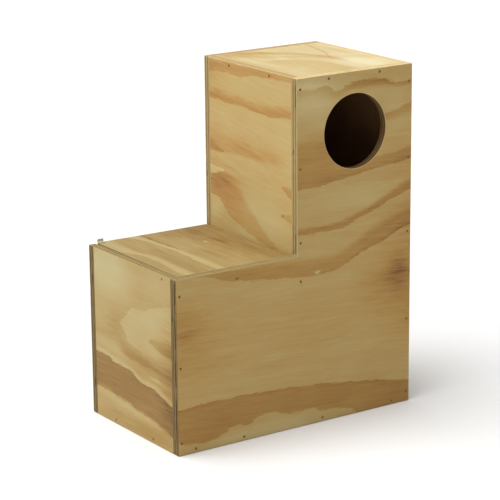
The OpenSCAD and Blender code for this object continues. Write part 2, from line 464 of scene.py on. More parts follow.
SIDE_BANDS = [
    # Along the tower's top, and its darker core
    Band([(-10, 498), (30, 490), (45, 493), (70, 484), (84, 489), (110, 493), (150, 492), (170, 484),
          (190, 484), (206, 492)],
         [(-10, 466), (60, 462), (110, 474), (160, 474), (206, 468)], 0.3, hold=0.15),
    Band([(84, 489), (110, 493), (150, 492), (170, 484)], [(84, 480), (110, 480), (150, 480), (170, 478)],
         0.16, hold=0.3, over=(92, 172, 10)),
    # To the right of the entrance
    Band([(140, 437), (157, 441), (180, 446), (206, 456)], [(140, 420), (157, 422), (180, 426), (206, 430)],
         0.26, hold=0.15, blur=1.5, over=(148, 260, 6)),
    # Below the entrance, and its dark lower edge
    Band(BELOW_ENTRANCE, [(0, 428), (44, 428), (50, 424), (100, 392), (150, 384), (206, 392)],
         0.27, hold=0.72),
    Band(BELOW_ENTRANCE, [(0, 362), (50, 364), (100, 366), (150, 370), (206, 376)], 0.1, hold=0.2),
    # Across the tower's foot
    Band([(-206, 284), (0, 284), (50, 283), (75, 284), (100, 291), (130, 300), (150, 307), (180, 317),
          (206, 324)],
         [(-206, 296), (0, 296), (50, 297), (100, 304), (130, 314), (150, 323), (180, 337), (206, 348)],
         0.36, hold=0.35),
    # At the lid's level, widening from the toe, and its dark lower edge
    Band([(-206, 258), (-160, 252), (-130, 243), (-100, 236), (-50, 229), (0, 224), (50, 222), (70, 226),
          (100, 237), (120, 245), (150, 253), (180, 265), (206, 270)],
         [(-206, 258), (-160, 256), (-100, 258), (0, 257), (50, 254), (75, 256), (100, 266), (120, 275),
          (150, 288), (180, 298), (206, 306)],
         0.27, hold=0.5),
    Band([(60, 223), (70, 226), (100, 237), (120, 245), (150, 253), (180, 265), (206, 270)],
         [(60, 226), (70, 230), (100, 243), (120, 252), (150, 261), (180, 274), (206, 280)],
         0.14, over=(85, 260, 14)),
    # Along the sheet's foot, and its dark upper edge
    Band(ALONG_FOOT,
         [(-206, 17), (-180, 12), (-150, 10), (-128, 17), (-105, 25), (-90, 21), (-60, 31), (-40, 30),
          (-24, 24), (0, 22), (25, 24), (40, 16), (80, 12), (104, 2), (120, -30), (206, -60)],
         0.33, hold=0.93, over=(-400, 400, 10)),
    Band(ALONG_FOOT, [(-206, 60), (0, 54), (100, 40), (206, 20)], 0.07),
    # A faint one at the lid's level
    Band([(100, 268), (120, 276), (150, 290), (180, 302), (206, 310)],
         [(100, 240), (120, 248), (150, 262), (180, 276), (206, 284)],
         0.07, hold=0.4, blur=2.0, over=(112, 400, 14)),
]
SIDE_SPOTS = [
    Spot((35, 226), (7, 2.2), -0.45, edge=0.5),
    Spot((180, 216), (26, 30), 0.17),
    Spot((182, 196), (44, 30), 0.2),
    Spot((160, 190), (90, 46), 0.12),
    Spot((-190, 190), (56, 36), 0.15),
    Spot((-190, 172), (30, 10), 0.14),
    Spot((-102, 240), (5, 2.6), 0.34, edge=0.2),
    Spot((7, 213), (5, 2.0), 0.12, edge=0.2),
    Spot((160, 22), (60, 20), 0.05, edge=0.2),
    Spot((0, 150), (230, 60), 0.05, edge=0.2),
    Spot((214, 190), (120, 150), 0.28),
    Spot((-206, 150), (110, 100), 0.19),
    Spot((210, 340), (100, 100), 0.13),
    Spot((-20, 104), (80, 10), 0.07),
    Spot((175, 450), (30, 60), -0.08),
    Spot((120, 328), (150, 22), -0.1, edge=0.2),
    Spot((-130, 6), (60, 9), -0.08, edge=0.3),
    Spot((-50, 8), (120, 18), -0.16, edge=0.4),
    Spot((14, 486), (70, 40), -0.3, edge=0.1),
    Spot((60, 466), (110, 56), -0.18, edge=0.1),
    Spot((0, 8), (170, 30), -0.08, edge=0.1),
    Spot((120, 20), (60, 30), -0.08, edge=0.2),
]
TOE_BANDS = [
    # Across the lower half, with a pale line over it
    Band(ACROSS_TOE, [(-107, 20), (-60, 29), (-30, 34), (0, 36), (20, 40), (50, 41), (75, 44), (107, 42)],
         0.4, hold=0.86, blur=1.2),
    Band(ACROSS_TOE,
         [(-107, 76), (-75, 86), (-50, 91), (-20, 93), (0, 98), (20, 101), (50, 104), (75, 108),
          (107, 107)],
         -0.2, hold=0.45, blur=1.0),
    # A shorter pale line on the entrance's side
    Band([(-107, 88), (-75, 92), (-40, 96)], [(-107, 94), (-75, 98), (-40, 100)],
         -0.16, hold=0.4, blur=1.0, over=(-200, -46, 10)),
    # The pale patch over them on the entrance's side, and the dark streak in it
    Band([(-107, 212), (-80, 207), (-60, 201), (-30, 190), (0, 186), (16, 172), (35, 159)],
         [(-107, 112), (-60, 118), (-20, 122), (10, 130), (22, 146), (35, 154)],
         -0.2, hold=0.84, blur=2.0, over=(-200, 33, 3)),
    Band([(-107, 136), (-75, 140), (-50, 146), (-40, 150), (-20, 152)],
         [(-107, 166), (-75, 164), (-50, 157), (-40, 152), (-20, 153)],
         0.25, hold=0.4, blur=2.5, over=(-200, -42, 6)),
    # Darker wood along the foot of that patch
    Band([(-107, 104), (-50, 108), (0, 110), (40, 114)], [(-107, 113), (-50, 120), (0, 130), (40, 146)],
         0.19, hold=0.4, blur=3.0, over=(-200, 34, 14)),
    # Paler wood on the far side, above and below the dark band
    Band([(107, 128), (60, 124), (20, 118)], [(107, 104), (60, 104), (20, 106)],
         -0.14, hold=0.4, blur=6.0, over=(22, 300, 16)),
    Band([(107, 46), (60, 45), (0, 38), (-60, 32)], [(107, 32), (60, 30), (0, 24), (-60, 20)],
         -0.14, hold=0.4, blur=2.0, over=(-70, 300, 16)),
]
TOE_SPOTS = [
    Spot((92, 160), (56, 60), -0.08),
    Spot((50, 150), (44, 22), 0.12),
    Spot((70, 230), (110, 66), -0.38, edge=0.1),
    Spot((-70, 236), (80, 34), -0.12, edge=0.1),
    Spot((-60, 16), (90, 24), 0.14),
    Spot((20, 10), (150, 22), 0.12),
    Spot((-112, 120), (70, 120), 0.4),
    Spot((-30, 120), (56, 70), 0.1),
]
RISER_BANDS = [
    # Along the top
    Band([(-107, 500), (-55, 498), (0, 494), (25, 490), (70, 490), (107, 485)],
         [(-107, 516), (-55, 514), (0, 512), (70, 510), (107, 508)], 0.3, hold=0.6),
    # Across the upper part
    Band([(-107, 448), (-80, 447), (-50, 444), (0, 445), (30, 448), (55, 446), (75, 448), (107, 449)],
         [(-107, 466), (-80, 468), (-50, 464), (0, 464), (60, 466), (107, 464)], 0.34, hold=0.35),
    # Across the middle: sharp on the far side, faint on the rest, and a thin one below it
    Band([(62, 373), (80, 371), (107, 370)], [(62, 375), (80, 382), (107, 396)],
         0.26, hold=0.4, blur=1.0, over=(64, 300, 3)),
    Band([(-107, 376), (0, 374), (60, 372)], [(-107, 398), (0, 406), (60, 410)],
         0.19, hold=0.3, blur=4.0, over=(-84, 400, 24)),
    Band([(30, 346), (70, 352), (107, 357)], [(30, 350), (70, 366), (107, 374)],
         0.12, hold=0.2, blur=1.0, over=(34, 300, 10)),
    # Slanting up from the lid, with a pale line over it
    Band([(-70, 250), (-35, 254), (-20, 257), (0, 262), (20, 269), (40, 274), (55, 280), (70, 293),
          (85, 302), (107, 304)],
         [(-70, 258), (-54, 265), (-34, 280), (-14, 296), (8, 314), (22, 331), (44, 345), (62, 353),
          (107, 358)],
         0.28, hold=0.6, blur=1.0, over=(-66, 300, 10)),
    Band([(60, 346), (80, 340), (107, 332)], [(60, 347), (80, 348), (107, 350)],
         -0.46, hold=0.8, blur=1.0, over=(66, 300, 3)),
    # Two short ones on the entrance's side
    Band([(-107, 330), (-96, 336), (-86, 343), (-78, 347)],
         [(-107, 354), (-96, 352), (-86, 351), (-78, 348)], 0.32, hold=0.7, blur=1.0, over=(-300, -79, 2)),
    Band([(-107, 298), (-84, 303), (-70, 304)], [(-107, 318), (-84, 310), (-70, 308)],
         0.2, hold=0.6, blur=1.0, over=(-300, -80, 4)),
]
RISER_SPOTS = [
    Spot((10, 384), (70, 13), 0.12),
    Spot((52, 336), (50, 18), 0.14),
    Spot((96, 334), (70, 46), 0.13),
    Spot((70, 320), (70, 26), 0.11),
    Spot((-81, 306), (5, 3.0), 0.45, edge=0.2),
    Spot((86, 285), (20, 22), -0.1, edge=0.2),
    Spot((112, 476), (80, 60), 0.16),
    Spot((104, 400), (60, 50), 0.1),
    Spot((-24, 284), (90, 54), -0.2, edge=0.2),
]
LID_BANDS = [
    Band([(-110, -178), (-60, -176), (0, -172), (50, -188), (120, -194)],
         [(-110, -162), (-60, -160), (0, -158), (50, -164), (120, -150)], -0.27, hold=0.5, blur=2.0),
    Band([(-110, -126), (-60, -126), (0, -122), (30, -122), (120, -150)],
         [(-110, -108), (-60, -108), (0, -110), (30, -114), (120, -120)], -0.29, hold=0.6, blur=1.5),
    Band([(0, -114), (20, -115), (60, -116), (120, -117)], [(0, -109), (20, -109), (60, -110), (120, -110)],
         0.45, over=(16, 300, 10)),
    Band([(-110, 4), (0, 4), (40, 4), (80, 4), (120, 4)],
         [(-110, -72), (0, -84), (40, -96), (80, -104), (120, -106)], 0.3, hold=0.35, blur=3.0),
    Band([(-110, -160), (0, -156), (60, -150)], [(-110, -128), (0, -128), (60, -140)],
         0.1, hold=0.3, blur=4.0, over=(-300, 40, 14)),
    Band([(-110, -46), (-60, -42), (0, -50)], [(-110, -30), (-60, -30), (0, -40)],
         -0.1, hold=0.3, blur=3.0, over=(-300, -20, 14)),
]
LID_SPOTS = [
    Spot((26, -36), (40, 16), 0.16),
    Spot((88, -44), (34, 16), 0.16),
    Spot((30, -57), (10, 3), -0.6, edge=0.3),
    Spot((96, -84), (40, 18), 0.1),
    Spot((-30, -76), (60, 36), 0.12),
]
TOP_BANDS = [
    Band([(-116, 118), (-60, 112), (-20, 102), (0, 90), (14, 72), (22, 52)],
         [(-116, 36), (-60, 32), (-20, 30), (0, 30), (14, 34), (22, 44)],
         0.16, hold=0.55, blur=6.0, over=(-300, 18, 8)),
    Band([(-60, 146), (-20, 146), (10, 138), (40, 124), (70, 100), (96, 60)],
         [(-60, 120), (-20, 122), (10, 116), (40, 94), (70, 60), (96, 30)],
         0.22, hold=0.4, blur=5.0, over=(-36, 110, 24)),
    Band([(-20, 132), (10, 146), (40, 160), (70, 168), (112, 176)],
         [(-20, 128), (10, 141), (40, 154), (70, 160), (112, 166)],
         0.22, hold=0.1, blur=2.5, over=(-24, 300, 10)),
    Band([(50, 70), (80, 40), (116, 30)], [(50, 40), (80, 20), (116, 14)], 0.12, hold=0.1, blur=4.0),
]
TOP_SPOTS = [
    Spot((74, 66), (44, 40), 0.16),
    Spot((-60, 160), (100, 54), -0.22, edge=0.1),
    Spot((92, 26), (44, 50), 0.26),
    Spot((0, 8), (130, 30), 0.16),
    Spot((-70, 74), (60, 34), -0.08),
    Spot((20, 76), (60, 10), -0.1),
]

# ------------------------------------------------------------------ colours of the wood


def wood(*colours):
    """A veneer's colour ramp, from pale early wood to the darkest late wood."""
    return [(place, paint(*colour)) for place, colour in zip(WOOD_PLACES, colours)]


def edge_shades(*colours):
    """Colours of a cut edge: face and middle plies, cross plies, glue line and worn arris."""
    return [paint(*colour) for colour in colours]


WOOD_PLACES = (0.0, 0.28, 0.55, 0.8, 1.0)
SIDE_WOOD = wood((207, 188, 135), (192, 166, 109), (180, 144, 79), (163, 121, 63), (124, 86, 44))
TOE_WOOD = wood((196, 182, 135), (186, 162, 109), (167, 136, 77), (145, 112, 62), (116, 85, 41))
RISER_WOOD = wood((213, 198, 145), (202, 177, 118), (194, 154, 89), (179, 133, 72), (134, 94, 48))
TOP_WOOD = wood((226, 215, 178), (205, 184, 134), (195, 161, 104), (176, 137, 81), (138, 98, 54))
LID_WOOD = wood((181, 165, 118), (167, 146, 98), (151, 126, 76), (134, 106, 60), (105, 75, 40))
PLAIN_WOOD = wood((204, 185, 139), (191, 165, 113), (175, 142, 86), (155, 117, 65), (121, 83, 43))
# The inner faces' wood is darkened as painted shade: the dim inside of the box, seen through the entrance
INNER_WOOD_PAINTED_SHADE = wood((166, 131, 93), (155, 118, 80), (140, 102, 64), (121, 85, 50), (91, 59, 32))

TOE_EDGE = edge_shades((140, 120, 78), (112, 93, 57), (60, 43, 24), (118, 94, 56))
RISER_EDGE = edge_shades((186, 162, 110), (158, 134, 88), (104, 84, 50), (208, 186, 136))
# Cut edges at the lid's level are darker than the same edges at the top, as painted shade: the tower's shade
# and the shade in the lid's gaps
LEDGE_EDGE_PAINTED_SHADE = edge_shades((168, 148, 100), (140, 118, 74), (98, 77, 44), (182, 158, 110))
RIM_EDGE = edge_shades((204, 178, 128), (180, 150, 100), (132, 104, 62), (214, 190, 140))
BRIGHT_EDGE = edge_shades((234, 212, 158), (216, 190, 136), (168, 138, 90), (238, 218, 166))
HOLE_EDGE = edge_shades((138, 110, 68), (112, 86, 50), (68, 48, 25), (214, 190, 140))
UPRIGHT = (TOE_EDGE, RISER_EDGE)          # edges below the lid's level, then above it
LEVEL = (LEDGE_EDGE_PAINTED_SHADE, RIM_EDGE)
LEVEL_BRIGHT = (LEDGE_EDGE_PAINTED_SHADE, BRIGHT_EDGE)

# ------------------------------------------------------------------ mesh helpers


def linked(name, data):
    """A new object in the scene."""
    made = bpy.data.objects.new(name, data)
    bpy.context.scene.collection.objects.link(made)
    return made


def new_object(name, vertices, faces, materials, indices=None, flat_below=0):
    """A closed mesh object in the row frame; the faces numbered below flat_below are shaded flat."""
    mesh = bpy.data.meshes.new(name)
    mesh.from_pydata([tuple(v) for v in vertices], [], [tuple(f) for f in faces])
    for material in materials:
        mesh.materials.append(material)
    if indices is not None:
        mesh.polygons.foreach_set("material_index", np.array(indices, np.int32))
    mesh.polygons.foreach_set("use_smooth", [i >= flat_below for i in range(len(faces))])
    work = bmesh.new()
    work.from_mesh(mesh)
    bmesh.ops.recalc_face_normals(work, faces=work.faces)
    work.to_mesh(mesh)
    work.free()
    mesh.update()
    return linked(name, mesh)


def mount(piece, body, node):
    """The piece rides on body, and stands for the CAD node, which is hidden."""
    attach(piece, body)
    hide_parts(node)


def ring_quads(first, size, rings):
    """Faces that join rings of size points, which follow one another from point number first."""
    quads = []
    for low in range(first, first + (rings - 1) * size, size):
        for k in range(size):
            after = (k + 1) % size
            quads.append((low + k, low + after, low + size + after, low + size + k))
    return quads


def parts_of(node):
    """Lowest and highest corner of each separate solid in a CAD node."""
    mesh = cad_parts[node].data
    joined = {}
    keys = [tuple(round(c, 5) for c in v.co) for v in mesh.vertices]

    def root(key):
        while joined.setdefault(key, key) != key:
            key = joined[key]
        return key

    for polygon in mesh.polygons:
        first = root(keys[polygon.vertices[0]])
        for index in polygon.vertices[1:]:
            joined[root(keys[index])] = first
    groups = {}
    for key in set(keys):
        groups.setdefault(root(key), []).append(key)
    boxes = [(Vector(np.min(group, 0)), Vector(np.max(group, 0))) for group in groups.values()]
    return sorted(boxes, key=lambda box: tuple(box[0]))


def outline_loop(corners):
    """Closed outline through corners in short steps, its outer corners rounded; the sheet is on its left."""
    loop = []
    count = len(corners)

    def is_outer(index):
        here = Vector(corners[index])
        into = here - Vector(corners[index - 1])
        out = Vector(corners[(index + 1) % count]) - here
        return into.x * out.y - into.y * out.x > 0

    for index in range(count):
        here = Vector(corners[index])
        back = (Vector(corners[index - 1]) - here).normalized()
        ahead = (Vector(corners[(index + 1) % count]) - here).normalized()
        following = Vector(corners[(index + 1) % count])
        if is_outer(index):
            centre = here + (back + ahead) * CORNER_RADIUS
            for k in range(ARC_STEPS + 1):
                turn = math.pi / 2 * k / ARC_STEPS
                loop.append(centre - (ahead * math.cos(turn) + back * math.sin(turn)) * CORNER_RADIUS)
        else:
            loop.append(here)
        start = loop[-1]
        stop = following - ahead * CORNER_RADIUS if is_outer((index + 1) % count) else following
        steps = max(1, round((stop - start).length / RIM_STEP))
        for k in range(1, steps):
            loop.append(start + (stop - start) * k / steps)
    return loop


def round_loop(centre, radius):
    """A circle that runs clockwise, so that a hole leaves the sheet on its left."""
    sides = max(PIT_SIDES, round(2 * math.pi * radius / RIM_STEP))
    turns = [-2 * math.pi * k / sides for k in range(sides)]
    return [Vector((centre[0] + radius * math.cos(t), centre[1] + radius * math.sin(t))) for t in turns]


def inward(loop):
    """For each point of a closed loop, the step into the sheet that moves both its edges in by one."""
    steps = []
    for index, here in enumerate(loop):
        before = (here - loop[index - 1]).normalized()
        after = (loop[(index + 1) % len(loop)] - here).normalized()
        first = Vector((-before.y, before.x))
        second = Vector((-after.y, after.x))
        steps.append((first + second) / (1 + first.dot(second)))
    return steps


def rim_rows(thickness):
    """Rows down a sheet's edge, as (depth, inset, ply); ply is None on the arris and at a glue line."""
    turns = [math.pi / 2 * k / ARC_STEPS for k in range(ARC_STEPS + 1)]
    arris = [(ARRIS * (1 - math.cos(turn)), ARRIS * (1 - math.sin(turn))) for turn in turns]
    rows = [(depth, inset, None) for depth, inset in arris]
    depth = 0.0
    for ply, share in enumerate(PLY_SHARES):
        start = depth if ply else ARRIS
        depth += share * thickness
        stop = depth if ply < len(PLY_SHARES) - 1 else thickness - ARRIS
        if ply:
            rows.append((start, GLUE_GROOVE, None))
            rows.append((start + GLUE_HALF_LINE, 0.0, ply))
        rows.append(((start + stop) / 2, 0.0, ply))
        if ply < len(PLY_SHARES) - 1:
            rows.append((stop - GLUE_HALF_LINE, 0.0, ply))
    return rows + [(thickness - depth, inset, None) for depth, inset in reversed(arris)]


def inside(points, loops):
    """Which of the points lie in the sheet, by counting the outline edges to their right."""
    hits = np.zeros(len(points), int)
    for loop in loops:
        ends = np.array([tuple(p) for p in loop])
        starts = np.roll(ends, 1, 0)
        for (ax, ay), (bx, by) in zip(starts, ends):
            crosses = (ay > points[:, 1]) != (by > points[:, 1])
            with np.errstate(divide="ignore", invalid="ignore"):
                reach = (bx - ax) * (points[:, 1] - ay) / (by - ay) + ax
            hits += crosses & (points[:, 0] < reach)
    return hits % 2 == 1


def face_triangles(loops):
    """Fills the area between the outline loop and the hole loops with even triangles.

    Gives the added inner points and triangles whose numbers run through the loops and then those points.
    It works in millimetres, because the triangulation drops points that are very close."""
    flat = np.array([tuple(p) for loop in loops for p in loop]) / MM
    low, high = flat.min(0), flat.max(0)
    size = FACE_STEP / MM
    rows = np.arange(low[1] + size / 2, high[1], size)
    grid = []
    for number, level in enumerate(rows):
        shift = (number % 2) * size / 2
        grid += [(a + shift, level) for a in np.arange(low[0] + size / 3, high[0], size)]
    grid = np.array(grid)
    scaled = [[p / MM for p in loop] for loop in loops]
    grid = grid[inside(grid, scaled)]
    gaps = np.array([np.min(np.hypot(*(flat - point).T)) for point in grid])
    grid = grid[gaps > size * 0.35]
    points = [Vector(p) for p in flat] + [Vector(p) for p in grid]
    edges = []
    first = 0
    for loop in loops:
        edges += [(first + k, first + (k + 1) % len(loop)) for k in range(len(loop))]
        first += len(loop)
    found, _, triangles, origins, _, _ = delaunay_2d_cdt(points, edges, [], 0, 1e-6)
    middles = np.array([tuple(sum((found[i] for i in t), Vector((0, 0))) / 3) for t in triangles])
    keep = inside(middles, scaled)
    source = [origin[0] for origin in origins]
    kept = [[source[i] for i in t] for t, good in zip(triangles, keep) if good]
    return [Vector(p) * MM for p in grid], kept


BRUISED = bruised_wood()
# A sheet's materials: its outer and inner face, its two ways of edge, the dents, and a hole's rim
OUTER, INNER, ALONG_A, ALONG_B, DENT, HOLE_RIM = range(6)


def rim_materials(loop, is_hole):
    """The material number of each face in a row of a rim."""
    runs = [loop[(k + 1) % len(loop)] - loop[k] for k in range(len(loop))]
    return [HOLE_RIM if is_hole else ALONG_A if abs(run.x) >= abs(run.y) else ALONG_B for run in runs]


class Sheet:
    """One plywood panel: where its CAD node is, which way it faces, and the nails driven into it.

    What is special about it is set before it is built: corners for an outline that is not a rectangle,
    holes as (centre, radius), pits as the places of the nails' dents, and voids in a core ply as (place
    on the outline, length, ply). trim is how far a rectangular sheet is cut short at each end, and bend
    moves its points when the sheet has warped."""

    def __init__(self, node, plane, outward, outer_wood, inner_wood, edge_colours, seed):
        self.node = node
        self.a, self.b = plane
        self.deep = 3 - self.a - self.b
        self.outward = outward
        self.low, self.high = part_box(node)
        self.thickness = self.high[self.deep] - self.low[self.deep]
        self.seed = seed
        self.holes = []
        self.pits = []
        self.voids = []
        self.corners = None
        self.trim = (0.0, 0.0)
        self.bend = None
        outer = self.low[self.deep] * 1000
        edges = [ply_edge(f"{node}_edge_{'xyz'[run]}", run, self.deep, outer, shades, seed + run)
                 for run, shades in zip(plane, edge_colours)]
        self.materials = [outer_wood, inner_wood, *edges, BRUISED]

    def place(self, flat, depth):
        """A point in the row frame, from its place on the outer face and its depth below it."""
        spot = [0.0, 0.0, 0.0]
        spot[self.a], spot[self.b] = flat
        outer = self.high[self.deep] if self.outward > 0 else self.low[self.deep]
        spot[self.deep] = outer - self.outward * depth
        spot = Vector(spot)
        return self.bend(spot) if self.bend else spot

    def rectangle(self):
        """The corners of a rectangular sheet, less what it is trimmed."""
        low_a, low_b = self.low[self.a] + self.trim[0], self.low[self.b] + self.trim[1]
        high_a, high_b = self.high[self.a] - self.trim[0], self.high[self.b] - self.trim[1]
        return [(low_a, low_b), (high_a, low_b), (high_a, high_b), (low_a, high_b)]

    def inset_at(self, flat, depth, inset, ply):
        """How far a point of the rim lies inside the true edge."""
        spot = Vector((flat.x, flat.y, depth)) * 1000
        rough = noise.noise(spot * 0.21 + Vector((self.seed, 0, 0)))
        rough += 0.6 * noise.noise(spot * 0.9 + Vector((0, self.seed, 0)))
        worn = max(0.0, noise.noise(spot * 0.055 + Vector((0, 0, self.seed))) - 0.28) * WEAR
        inset += EDGE_ROUGHNESS * (0.5 + 0.5 * rough)
        if ply is None and depth < self.thickness / 2:
            inset += worn * 0.5
        for where, length, void_ply in self.voids:
            gap = (flat - Vector(where)).length / (length / 2)
            if ply == void_ply and gap < 1:
                inset += VOID_DEPTH * math.sqrt(1 - gap * gap)
        return inset

    def rim(self, loop, rows, points):
        """Adds one rim's points, row by row, and gives its first and last row."""
        steps = inward(loop)
        rings = []
        for depth, inset, ply in rows:
            ring = [flat + step * self.inset_at(flat, depth, inset, ply) for flat, step in zip(loop, steps)]
            points.extend(self.place(flat, depth) for flat in ring)
            rings.append(ring)
        return rings[0], rings[-1]

    def dents(self, points):
        """Adds the points of the nails' dents, and gives their loops, the loops' numbers and the faces."""
        loops, ids, faces = [], [], []
        levels = [(PIT_RADIUS, 0.0), (PIT_WALL, PIT_LIP), (PIT_WALL * 0.97, PIT_DEPTH)]
        for pit in self.pits:
            first = len(points)
            for radius, depth in levels:
                points.extend(self.place(flat, depth) for flat in round_loop(pit, radius))
            loops.append(round_loop(pit, PIT_RADIUS))
            count = len(loops[-1])
            ids.append(range(first, first + count))
            faces += ring_quads(first, count, len(levels))
            faces.append(tuple(range(len(points) - count, len(points))))
        return loops, ids, faces

    def build(self, body="box"):
        """Makes the panel's mesh, and puts it in the place of its CAD node."""
        rims = [outline_loop(self.corners or self.rectangle())] + [round_loop(*hole) for hole in self.holes]
        rows = rim_rows(self.thickness)
        points, rim_faces, rim_indices, top_ids, bottom_ids = [], [], [], [], []
        top_loops, bottom_loops = [], []
        for number, loop in enumerate(rims):
            first, count = len(points), len(loop)
            last = first + (len(rows) - 1) * count
            top, bottom = self.rim(loop, rows, points)
            top_loops.append(top)
            bottom_loops.append(bottom)
            rim_faces += ring_quads(first, count, len(rows))
            rim_indices += rim_materials(loop, number > 0) * (len(rows) - 1)
            top_ids.append(range(first, first + count))
            bottom_ids.append(range(last, last + count))
        dent_loops, dent_ids, dent_faces = self.dents(points)
        top_loops += dent_loops
        top_ids += dent_ids
        flat_faces, flat_indices = [], []
        sides = ((top_loops, top_ids, 0.0, OUTER), (bottom_loops, bottom_ids, self.thickness, INNER))
        for loops, ids, depth, index in sides:
            added, triangles = face_triangles(loops)
            numbers = [i for ring in ids for i in ring]
            numbers += range(len(points), len(points) + len(added))
            points += [self.place(p, depth) for p in added]
            flat_faces += [tuple(numbers[i] for i in t) for t in triangles]
            flat_indices += [index] * len(triangles)
        piece = new_object(
            f"{self.node}_board", points, flat_faces + rim_faces + dent_faces, self.materials,
            flat_indices + rim_indices + [DENT] * len(dent_faces), flat_below=len(flat_faces))
        mount(piece, body, self.node)


# ------------------------------------------------------------------ plywood panels


def veneers():
    """The face veneers, by the name of the sheet face that each covers."""
    return {
        "entrance": veneer("veneer_entrance_side", X, Z, SIDE_WOOD, 0.36, SIDE_BANDS, SIDE_SPOTS, 3.0,
                           slope=0.05, figure=0.75),
        "toe": veneer("veneer_toe_end", Y, Z, TOE_WOOD, 0.34, TOE_BANDS, TOE_SPOTS, 17.0, figure=0.65),
        "riser": veneer("veneer_riser", Y, Z, RISER_WOOD, 0.30, RISER_BANDS, RISER_SPOTS, 29.0, slope=-0.12),
        "lid": veneer("veneer_lid", Y, X, LID_WOOD, 0.36, LID_BANDS, LID_SPOTS, 41.0, figure=1.7),
        "top": veneer("veneer_top", Y, X, TOP_WOOD, 0.20, TOP_BANDS, TOP_SPOTS, 53.0),
        "far": veneer("veneer_plain_side", X, Z, PLAIN_WOOD, 0.24, seed=67.0, period=52.0, slope=-0.015),
        "back": veneer("veneer_back", Z, Y, PLAIN_WOOD, 0.26, seed=79.0, period=44.0, slope=0.02),
        "under": veneer("veneer_floor", X, Y, PLAIN_WOOD, 0.28, seed=83.0, period=60.0),
        # The inner faces take the darkened wood, which paints the shade inside the box
        "inner_side": veneer("veneer_inner_side", X, Z, INNER_WOOD_PAINTED_SHADE, 0.32, seed=97.0, period=58.0),
        "inner_end": veneer("veneer_inner_end", Y, Z, INNER_WOOD_PAINTED_SHADE, 0.32, seed=103.0, period=50.0),
        "inner_back": veneer("veneer_inner_back", Z, Y, INNER_WOOD_PAINTED_SHADE, 0.34, seed=109.0, figure=0.5),
        "inner_flat": veneer("veneer_inner_flat", Y, X, INNER_WOOD_PAINTED_SHADE, 0.30, seed=113.0, period=54.0),
        "lid_under": veneer("veneer_lid_underside", Y, X, PLAIN_WOOD, 0.28, seed=131.0, period=54.0),
        "inner_floor": veneer("veneer_inner_floor", X, Y, INNER_WOOD_PAINTED_SHADE, 0.34, seed=127.0, period=57.0),
    }


# Axis that the nails lie along, and which end their heads are at; 0 is the end away from the middle
NAIL_HEADS = {
    "side_to_riser_nails": (Y, 0), "side_to_back_nails": (Y, 0), "side_to_top_nails": (Y, 0),
    "side_to_toe_end_nails": (Y, 0), "side_to_floor_nails": (Y, 0), "toe_end_to_floor_nails": (X, -1),
    "riser_to_top_nails": (X, -1), "back_to_top_nails": (X, 1), "back_to_floor_nails": (X, 1),
    "rung_nails": (Y, 1), "toe_pivot_pin": (X, -1), "riser_pivot_pin": (X, 1), "lift_tab_nail": (Z, 1),
}


def driven(node):
    """Each nail of a node: its head's middle, the way it points, its length and its head's radius."""
    axis, end = NAIL_HEADS[node]
    nails = []
    for low, high in parts_of(node):
        middle = (low + high) / 2
        way = end or (1 if middle[axis] > 0 else -1)
        head = middle.copy()
        head[axis] = high[axis] if way > 0 else low[axis]
        inwards = Vector((0, 0, 0))
        inwards[axis] = -way
        across = (axis + 1) % 3
        nails.append((head, inwards, high[axis] - low[axis], (high[across] - low[across]) / 2))
    return nails


def lid_bend(spot):
    """The lid has warped: it lies true at the riser and has lifted at the toe end."""
    low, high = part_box("inspection_lid")
    share = max(0.0, (high.x - spot.x) / (high.x - low.x))
    across = (spot.y - low.y) / (high.y - low.y)
    side_share = LID_WARP_NEAR + (1 - LID_WARP_NEAR) * across
    return spot + Vector((0, 0, LID_WARP * share ** LID_WARP_POWER * side_share))


def boot_outline(rebate=None):
    """The side panels' outline; rebate is the level at which the lid's seat is cut."""
    low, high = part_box("entrance_side_panel")
    toe_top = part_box("toe_end_panel")[1].z
    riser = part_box("riser_panel")[0].x
    corners = [(low.x, low.z), (high.x, low.z), (high.x, high.z), (riser, high.z)]
    if rebate is None:
        return corners + [(riser, toe_top), (low.x, toe_top)]
    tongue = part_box("toe_end_panel")[1].x
    return corners + [(riser, rebate), (tongue, rebate), (tongue, toe_top), (low.x, toe_top)]


def mark_nails(nodes, near_sheet, far_sheet):
    """Has the sheets dented at the head of each nail in the nodes."""
    for node in nodes:
        for head, _, _, _ in driven(node):
            sheet = near_sheet if head.y < 0 else far_sheet
            sheet.pits.append((head[sheet.a], head[sheet.b]))


def entrance_side(faces):
    """The side panel with the entrance, and the gaps in its core plies."""
    side = Sheet("entrance_side_panel", (X, Z), -1, faces["entrance"], faces["inner_side"],
                 (LEVEL_BRIGHT, UPRIGHT), 1)
    side.corners = boot_outline()
    side.holes = [(ENTRANCE_CENTRE, ENTRANCE_RADIUS)]
    side.materials.append(ply_edge("entrance_hole_rim", Z, Y, side.low.y * 1000, (HOLE_EDGE, HOLE_EDGE), 9))
    toe, riser = side.low.x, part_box("riser_panel")[0].x
    side.voids = [((toe, 0.232), 34 * MM, 1), ((toe, 0.176), 46 * MM, 1), ((toe, 0.118), 40 * MM, 1),
                  ((toe, 0.050), 64 * MM, 1), ((toe, 0.196), 7 * MM, 3), ((riser, 0.272), 30 * MM, 1),
                  ((riser, 0.482), 34 * MM, 1), ((riser, 0.402), 8 * MM, 3),
                  ((0.093, side.high.z), 10 * MM, 1)]
    return side


